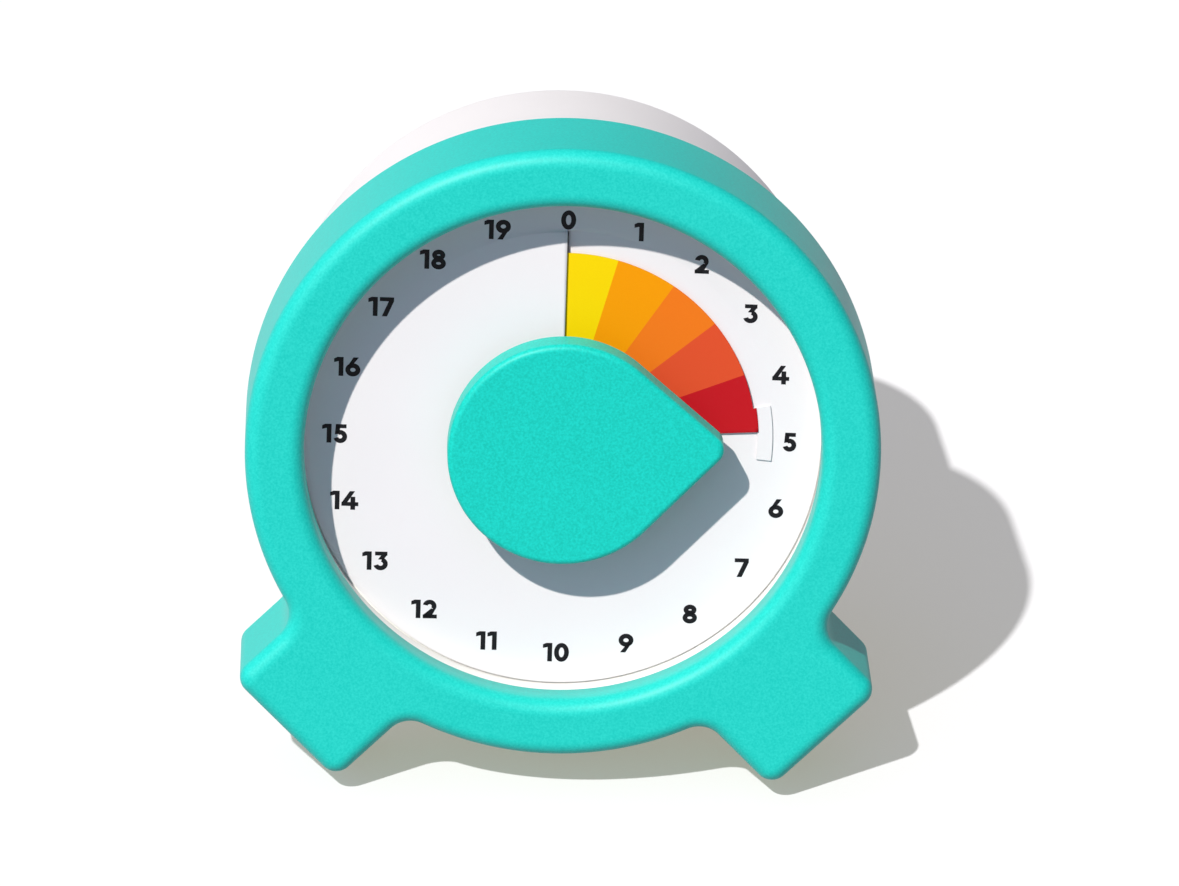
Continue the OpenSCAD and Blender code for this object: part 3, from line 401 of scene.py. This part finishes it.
def half_shell_outline(bm, inset, z):
    """Right half of the ring-and-legs outline, drawn smaller by inset."""
    r = RING_R - inset
    low, high, reach = LEG_LOW - inset, LEG_HIGH - inset, LEG_REACH - inset
    corner = LEG_CORNER_R - inset
    low_fillet, high_fillet = LEG_LOW_FILLET + inset, LEG_HIGH_FILLET + inset
    low_u = sqrt((r + low_fillet) ** 2 - (low + low_fillet) ** 2)
    high_u = sqrt((r + high_fillet) ** 2 - (high + high_fillet) ** 2)
    low_angle = degrees(atan2(low + low_fillet, low_u))
    high_angle = degrees(atan2(high + high_fillet, high_u))
    pen = Pen(bm, 0, -r, z)
    pen.arc((0, 0), 90 - LEG_ANGLE - low_angle, 18)
    pen.arc(turned(low_u, -low - low_fillet, -LEG_ANGLE), low_angle - 90, 14)
    pen.line(*turned(reach - corner, -low, -LEG_ANGLE))
    pen.arc(turned(reach - corner, corner - low, -LEG_ANGLE), 90, 10)
    pen.line(*turned(reach, high - corner, -LEG_ANGLE))
    pen.arc(turned(reach - corner, high - corner, -LEG_ANGLE), 90, 10)
    pen.line(*turned(high_u, high, -LEG_ANGLE))
    pen.arc(turned(high_u, high + high_fillet, -LEG_ANGLE), high_angle - 90, 14)
    pen.arc((0, 0), 90 + LEG_ANGLE - high_angle, 80)
    return pen.edges


def bridge(bm, lines):
    """Joins each line to the next with faces."""
    for a, b in zip(lines, lines[1:]):
        bmesh.ops.bridge_loops(bm, edges=a + b)


def mirror_half(bm):
    bmesh.ops.mirror(bm, geom=bm.verts[:] + bm.edges[:] + bm.faces[:], axis="X", merge_dist=MERGE_DIST)
    bmesh.ops.remove_doubles(bm, verts=bm.verts, dist=MERGE_DIST)
    bmesh.ops.recalc_face_normals(bm, faces=bm.faces)


def sharp_edges(bm, accept):
    """Edges sharper than SHARP_ANGLE whose middle passes the test accept(x, y, z)."""
    found = []
    for edge in bm.edges:
        if len(edge.link_faces) == 2 and degrees(edge.calc_face_angle(0)) > SHARP_ANGLE:
            middle = (edge.verts[0].co + edge.verts[1].co) / 2
            if accept(*middle):
                found.append(edge)
    return found


def round_edges(bm, edges, radius, segments):
    bmesh.ops.bevel(
        bm, geom=edges, offset=radius, offset_type="OFFSET", segments=segments, profile=0.5,
        affect="EDGES", clamp_overlap=False, material=-1)


def finish_piece(bm, name, body, material, replaces=(), even=True):
    """Stands the finished mesh in its place, hangs it on its body and hides the parts it stands in for."""
    bmesh.ops.transform(bm, matrix=PLACE, verts=bm.verts)
    mesh = bpy.data.meshes.new(name)
    bm.to_mesh(mesh)
    bm.free()
    mesh.shade_smooth()
    piece = bpy.data.objects.new(name, mesh)
    bpy.context.scene.collection.objects.link(piece)
    mesh.materials.append(material)
    if even:
        piece.modifiers.new("even_normals", "WEIGHTED_NORMAL").keep_sharp = True
    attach(piece, body)
    if replaces:
        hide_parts(*replaces)


# ---------- front shell ----------

def make_front_shell():
    bm = bmesh.new()
    ceiling = RING_FRONT - SHELL_WALL
    channel = WINDOW_R + SHELL_WALL
    bridge(bm, [
        half_shell_outline(bm, SHELL_WALL, ceiling),
        half_shell_outline(bm, SHELL_WALL, -RING_BACK),
        half_shell_outline(bm, 0, -RING_BACK),
        half_shell_outline(bm, 0, RING_FRONT),
        half_shell_outline(bm, RING_EDGE_R + FACE_MARGIN, RING_FRONT),
    ])
    bridge(bm, [
        half_ring(bm, WINDOW_R + WINDOW_EDGE_R + FACE_MARGIN, RING_FRONT),
        half_ring(bm, WINDOW_R, RING_FRONT),
        half_ring(bm, WINDOW_R, WINDOW_BACK),
        half_ring(bm, channel, WINDOW_BACK),
        half_ring(bm, channel, ceiling),
    ])
    mirror_half(bm)
    for level in (RING_FRONT, ceiling):
        rims = [e for e in bm.edges if e.is_boundary and abs(e.verts[0].co.z - level) < TINY]
        bmesh.ops.triangle_fill(bm, edges=rims, use_beauty=True)
    bmesh.ops.recalc_face_normals(bm, faces=bm.faces)
    between_rims = (WINDOW_R + RING_R) / 2
    outer_rim = sharp_edges(bm, lambda x, y, z: z > RING_FRONT - TINY and hypot(x, y) > between_rims)
    round_edges(bm, outer_rim, RING_EDGE_R, 10)
    window_rim = sharp_edges(bm, lambda x, y, z: z > RING_FRONT - TINY and hypot(x, y) < between_rims)
    round_edges(bm, window_rim, WINDOW_EDGE_R, 10)
    round_edges(bm, sharp_edges(bm, lambda x, y, z: z < TINY - RING_BACK), BURR_R, 2)
    finish_piece(bm, "ring_and_legs", "housing", TURQUOISE, ["front_shell"])


# ---------- knob ----------

def half_teardrop(bm, inset, z):
    """Right half of the pointer's outline with its tip up, drawn smaller by inset."""
    r, tip_r, tip_y = KNOB_R - inset, KNOB_TIP_R - inset, KNOB_TIP - KNOB_TIP_R
    flank = degrees(acos((KNOB_R - KNOB_TIP_R) / tip_y))
    pen = Pen(bm, 0, -r, z)
    pen.arc((0, 0), 180 - flank, 90)
    a = radians(90 - flank)
    pen.line(tip_r * cos(a), tip_y + tip_r * sin(a))
    pen.arc((0, tip_y), flank, 12)
    return pen.edges


def make_knob():
    bm = bmesh.new()
    inner = half_teardrop(bm, KNOB_WALL, KNOB_FRONT - KNOB_WALL)
    front = half_teardrop(bm, 0, KNOB_FRONT)
    inner_foot, outer_foot = half_teardrop(bm, KNOB_WALL, KNOB_BACK), half_teardrop(bm, 0, KNOB_BACK)
    bridge(bm, [inner, inner_foot, outer_foot, front])
    mirror_half(bm)
    bmesh.ops.holes_fill(bm, edges=[e for e in bm.edges if e.is_boundary])
    bmesh.ops.recalc_face_normals(bm, faces=bm.faces)
    round_edges(bm, sharp_edges(bm, lambda x, y, z: z > KNOB_FRONT - TINY), KNOB_EDGE_R, 8)
    round_edges(bm, sharp_edges(bm, lambda x, y, z: z < KNOB_BACK + TINY), BURR_R, 2)
    setting = Matrix.Rotation(-radians(SET_ANGLE), 3, "Z")
    bmesh.ops.rotate(bm, verts=bm.verts, cent=(0, 0, 0), matrix=setting)
    finish_piece(bm, "pointer_knob", "knob", SHADED_KNOB_TURQUOISE, ["knob"])


# ---------- dial ----------

def dial_height(x, y):
    """Height of the dial's surface: a screw surface within the slit, flattening beyond its end.

    The flattening starts at the slit's end, and more softly the further from the slit."""
    r = hypot(x, y)
    a = atan2(x, y)
    soft = SOFT_START * min(1, abs(a) / radians(SOFT_FROM)) ** 2
    beyond = log(r / SLIT_R)
    if beyond <= -soft:
        return PITCH * (degrees(a) % 360 / 360 - 0.5)
    if beyond < soft:
        beyond = (beyond + soft) ** 2 / (4 * soft)
    fade = exp(-FLATTEN_POWER * beyond)
    return -PITCH / pi * atan2(fade * sin(a), 1 - fade * cos(a))


def screw_sheet(bm, radii, start, sweep, steps, low, rise):
    """A radial line of points swept clockwise from angle start while it rises."""
    points = []
    for r in radii:
        a = radians(start)
        points.append(bm.verts.new((r * sin(a), r * cos(a), low)))
    line = [bm.edges.new(pair) for pair in zip(points, points[1:])]
    bmesh.ops.spin(
        bm, geom=points + line, cent=(0, 0, 0), axis=(0, 0, 1), angle=-radians(sweep), steps=steps,
        dvec=(0, 0, rise / steps), use_duplicate=False)


def thicken(bm, depth):
    """Gives a sheet whose faces look up a thickness downwards."""
    bmesh.ops.recalc_face_normals(bm, faces=bm.faces)
    if sum(f.normal.z for f in bm.faces) < 0:
        bmesh.ops.reverse_faces(bm, faces=bm.faces)
    bmesh.ops.solidify(bm, geom=bm.faces[:], thickness=depth)
    bmesh.ops.recalc_face_normals(bm, faces=bm.faces)


def make_dial():
    bm = bmesh.new()
    radii = [DIAL_HOLE_R, 20, 28, 36, 42, 45, SLIT_R]
    radii += [SLIT_R + s for s in RINGS_BEYOND_SLIT] + [DIAL_R]
    screw_sheet(bm, radii, 0, 360, 300, 0, 0)
    for v in bm.verts:
        r = hypot(v.co.x, v.co.y)
        a = degrees(atan2(v.co.x, v.co.y)) % 360
        if a > 360 - TINY:
            a -= 360
        seam = abs(a) < TINY
        if seam and r < SLIT_R + TINY:
            faces_x = sum(f.calc_center_median().x for f in v.link_faces)
            side = 1 if faces_x > 0 else -1
            v.co.z = -side * PITCH / 2
            v.co.x = side * SLIT_W / 2
        else:
            v.co.z = 0 if seam else dial_height(v.co.x, v.co.y)
    beyond_slit = [v for v in bm.verts if hypot(v.co.x, v.co.y) > SLIT_R + 0.1]
    bmesh.ops.remove_doubles(bm, verts=beyond_slit, dist=MERGE_DIST)
    thicken(bm, DIAL_T)
    finish_piece(bm, "dial_face", "housing", DIAL_WHITE, ["dial_plate"])


def make_film():
    bm = bmesh.new()
    radii = [HUB_R, 20, 28, 36, FILM_R]
    start = SET_ANGLE - 360 + FILM_SLOT
    step_at = SET_ANGLE - FILM_STEP_SPAN
    lift = DISC_GAP + CARRIER_T + TINY + FILM_T
    body = (radii, start, step_at, 240)
    leading_end = (radii + [FILM_R + FILM_STEP], step_at, SET_ANGLE, 6)
    for wide, first, last, steps in (body, leading_end):
        sweep = last - first
        screw_sheet(bm, wide, first, sweep, steps, PITCH * (first / 360 - 0.5) + lift, PITCH * sweep / 360)
    bmesh.ops.remove_doubles(bm, verts=bm.verts, dist=MERGE_DIST)
    thicken(bm, FILM_T)
    finish_piece(bm, "time_film", "disc", FILM, ["color_disc"])


# ---------- digits ----------

# The digits are drawn one unit high, from x = 0 to their width.
STROKE = 0.245
SPACING = 0.1


def bar(bm, *corners):
    bm.faces.new([bm.verts.new((x, y, 0)) for x, y in corners])


def bowl(bm, x, y, wide, high):
    """Closed oval stroke, wide and high outside."""
    for trim in (0, STROKE):
        shape = Matrix.Diagonal((wide / 2 - trim, high / 2 - trim, 1, 1))
        made = bmesh.ops.create_circle(
            bm, segments=40, radius=1, matrix=Matrix.Translation((x, y, 0)) @ shape)
        edges = {e for v in made["verts"] for e in v.link_edges}
        if trim:
            bmesh.ops.bridge_loops(bm, edges=list(outer | edges))
        outer = edges


def bow(bm, x, y, wide, high, start, sweep):
    """Open oval stroke about a centre, from angle start round by sweep."""
    borders = []
    for r in (0.5, 0.5 - STROKE):
        a = radians(start)
        pen = Pen(bm, r * cos(a), r * sin(a), 0)
        pen.arc((0, 0), sweep, 24)
        borders.append(pen.edges)
    new = {v for edges in borders for e in edges for v in e.verts}
    bmesh.ops.bridge_loops(bm, edges=borders[0] + borders[1])
    for v in new:
        r = v.co.length
        v.co *= 1 / r
        trim = 0 if r > 0.4 else STROKE
        v.co.x = x + v.co.x * (wide / 2 - trim)
        v.co.y = y + v.co.y * (high / 2 - trim)


def digit_0(bm):
    bowl(bm, 0.38, 0.5, 0.76, 1.02)
    return 0.76


def digit_1(bm):
    bar(bm, (0, 0.72), (0.24, 0.78), (0.24, 1), (0.17, 1), (0, 0.92))
    bar(bm, (0.24, 0), (0.48, 0), (0.48, 1), (0.24, 1))
    return 0.48


def digit_2(bm):
    bow(bm, 0.36, 0.67, 0.7, 0.68, 168, -208)
    bar(bm, (0.02, 0), (0.4, 0), (0.66, 0.5), (0.44, 0.54), (0.02, 0.17))
    bar(bm, (0.02, 0), (0.74, 0), (0.74, 0.21), (0.02, 0.21))
    return 0.74


def digit_3(bm):
    bar(bm, (0.07, 0.79), (0.7, 0.79), (0.7, 1), (0.07, 1))
    bar(bm, (0.38, 0.79), (0.7, 0.9), (0.7, 0.84), (0.5, 0.57), (0.24, 0.57), (0.24, 0.6))
    bow(bm, 0.36, 0.34, 0.74, 0.7, 78, -240)
    return 0.74


def digit_4(bm):
    bar(bm, (0, 0.2), (0.86, 0.2), (0.86, 0.41), (0, 0.41))
    bar(bm, (0, 0.36), (0.27, 0.36), (0.68, 1), (0.42, 1))
    bar(bm, (0.46, 0), (0.7, 0), (0.7, 0.7), (0.46, 0.7))
    return 0.86


def digit_5(bm):
    bar(bm, (0.12, 0.79), (0.66, 0.79), (0.66, 1), (0.12, 1))
    bar(bm, (0.08, 0.44), (0.31, 0.5), (0.34, 0.85), (0.12, 1))
    bow(bm, 0.35, 0.34, 0.7, 0.7, 128, -290)
    return 0.7


def digit_6(bm):
    bowl(bm, 0.38, 0.34, 0.76, 0.7)
    bar(bm, (0.05, 0.42), (0.3, 0.5), (0.67, 1), (0.4, 1))
    return 0.76


def digit_7(bm):
    bar(bm, (0, 0.79), (0.72, 0.79), (0.72, 1), (0, 1))
    bar(bm, (0.12, 0), (0.38, 0), (0.72, 0.8), (0.46, 0.8))
    return 0.72


def digit_8(bm):
    bowl(bm, 0.37, 0.73, 0.66, 0.56)
    bowl(bm, 0.37, 0.3, 0.74, 0.62)
    return 0.74


def digit_9(bm):
    wide = digit_6(bm)
    half_turn = Matrix.Rotation(pi, 3, "Z")
    bmesh.ops.rotate(bm, verts=bm.verts, cent=(wide / 2, 0.5, 0), matrix=half_turn)
    return wide


DIGITS = [digit_0, digit_1, digit_2, digit_3, digit_4, digit_5, digit_6, digit_7, digit_8, digit_9]


def make_digits():
    """The numbers 0 to 19 as ink lying on the dial, all upright, at even angles."""
    bm = bmesh.new()
    for n in range(MINUTES):
        written = []
        wide = -SPACING
        for letter in str(n):
            one = bmesh.new()
            wide += SPACING
            start = wide
            wide += DIGITS[int(letter)](one)
            written.append((one, start))
        a = radians(360 / MINUTES * n)
        for one, start in written:
            for v in one.verts:
                v.co.x = DIGIT_R * sin(a) + (v.co.x + start - wide / 2) * DIGIT_H
                v.co.y = DIGIT_R * cos(a) + (v.co.y - 0.5) * DIGIT_H
            bmesh.ops.triangulate(one, faces=one.faces)
            for _ in range(2):
                long_edges = [e for e in one.edges if e.calc_length() > 0.7]
                bmesh.ops.subdivide_edges(one, edges=long_edges, cuts=1)
                bmesh.ops.triangulate(one, faces=one.faces)
            loose = bpy.data.meshes.new("digit")
            one.to_mesh(loose)
            one.free()
            bm.from_mesh(loose)
            bpy.data.meshes.remove(loose)
    for v in bm.verts:
        v.co.z = dial_height(v.co.x, v.co.y) + INK_LIFT
    for face in bm.faces:
        face.normal_update()
        if face.normal.z < 0:
            face.normal_flip()
    finish_piece(bm, "dial_digits", "housing", INK, even=False)


make_front_shell()
make_knob()
make_dial()
make_film()
make_digits()


# ---------- camera, floor and light ----------

FOCAL_LENGTH = 9627  # in pixels of the frame
FRAME_WIDTH = 1179
SENSOR_WIDTH = 36


def front_camera():
    """Long lens in front of the dial and above it; angles and place in the dial's own frame."""
    azimuth, elevation, roll = radians(1.82), radians(18.25), radians(1.76)
    distance, target = 2128.0, Vector((6.07, -1.1, 0))
    look = Vector((sin(azimuth) * cos(elevation), -sin(elevation), -cos(azimuth) * cos(elevation)))
    right = Vector((cos(azimuth), 0, sin(azimuth)))
    up = right.cross(look)
    turned_right = right * cos(roll) + up * sin(roll)
    turned_up = up * cos(roll) - right * sin(roll)
    axes = Matrix((turned_right, turned_up, -look)).transposed().to_4x4()
    axes.translation = target - look * distance
    data = bpy.data.cameras.new("camera")
    data.sensor_width = SENSOR_WIDTH
    data.lens = SENSOR_WIDTH * FOCAL_LENGTH / FRAME_WIDTH
    data.clip_start, data.clip_end = 0.1, 50
    camera = bpy.data.objects.new("camera", data)
    world = STANCE @ axes
    world.translation *= 0.001
    camera.matrix_world = world
    bpy.context.scene.collection.objects.link(camera)
    bpy.context.scene.camera = camera


SUN_COLOUR = (1.0, 0.95, 0.90)
SUN_STRENGTH = 4.25
SUN_SIZE = 1.0  # degrees across, which sets how soft the shadows' edges are
SUN_TRAVEL = (0.53, 0.72, -1.19)
SKY_COLOUR = (0.62, 0.67, 1.08, 1)
SKY_GLOSS = (1.9, 1.95, 2.0, 1)
SKY_FROM = (-0.7, -0.4, 0.6)
SKY_RANGE = (-0.7, 1.0, 0.03, 0.46)  # facing SKY_FROM by -0.7 to 1.0 gives a strength of 0.03 to 0.46
FLOOR_WHITE = (0.54, 0.56, 0.60, 1)
FLOOR_LIFT = (0.345, 0.328, 0.255, 1)
FLOOR_BOUNCE = (0.25, 0.25, 0.25, 1)


def pale_floor():
    """White floor: what is seen of it is lifted, so that its shadows stay pale, and it lights
    the timer less than it is seen."""
    paint = Paint("floor_white", roughness=0.9, specular=0.1)
    paint.set("Base Color", FLOOR_WHITE)
    rays = paint.node("LightPath", {})
    lift = paint.node("Emission", {}, Color=FLOOR_LIFT, Strength=1.0)[0]
    both = paint.node("AddShader", {}, Value(paint, paint.shader.outputs[0]), lift)[0]
    dull = paint.node("BsdfDiffuse", {}, Color=FLOOR_BOUNCE)[0]
    seen = rays["Is Camera Ray"]
    for kind in ("Is Glossy Ray", "Is Transmission Ray"):
        seen = seen.join("MAXIMUM", seen, rays[kind])
    mix = paint.node("MixShader", {}, seen, dull, both)[0]
    paint.feed(paint.tree.nodes["Material Output"].inputs["Surface"], mix)
    return paint.material


def lay_floor():
    bm = bmesh.new()
    bmesh.ops.create_grid(bm, x_segments=2, y_segments=2, size=6)
    mesh = bpy.data.meshes.new("floor")
    bm.to_mesh(mesh)
    bm.free()
    floor = bpy.data.objects.new("floor", mesh)
    bpy.context.scene.collection.objects.link(floor)
    mesh.materials.append(pale_floor())


def light_scene():
    """One warm sun-like key light and a cool sky that is brighter on the key's side."""
    sun = bpy.data.lights.new("key", "SUN")
    sun.energy = SUN_STRENGTH
    sun.color = SUN_COLOUR
    sun.angle = radians(SUN_SIZE)
    lamp = bpy.data.objects.new("key", sun)
    lamp.rotation_mode = "QUATERNION"
    lamp.rotation_quaternion = Vector(SUN_TRAVEL).to_track_quat("-Z", "Y")
    bpy.context.scene.collection.objects.link(lamp)
    world = bpy.data.worlds.new("studio")
    sky = Nodes(world)
    backdrop = sky.tree.nodes["Background"].inputs
    direction = sky.node("TexCoord", {})["Generated"]
    source = Vector(SKY_FROM).normalized()
    along = sky.node("VectorMath", {"operation": "DOT_PRODUCT"}, direction, source)["Value"]
    level = sky.node("MapRange", {"interpolation_type": "SMOOTHSTEP"}, along, *SKY_RANGE)["Result"]
    glossy = sky.node("LightPath", {})["Is Glossy Ray"]
    sky.feed(backdrop["Color"], sky.between(glossy, SKY_COLOUR, SKY_GLOSS))
    sky.feed(backdrop["Strength"], level)
    bpy.context.scene.world = world


bpy.context.scene.view_settings.view_transform = "Standard"
front_camera()
lay_floor()
light_scene()
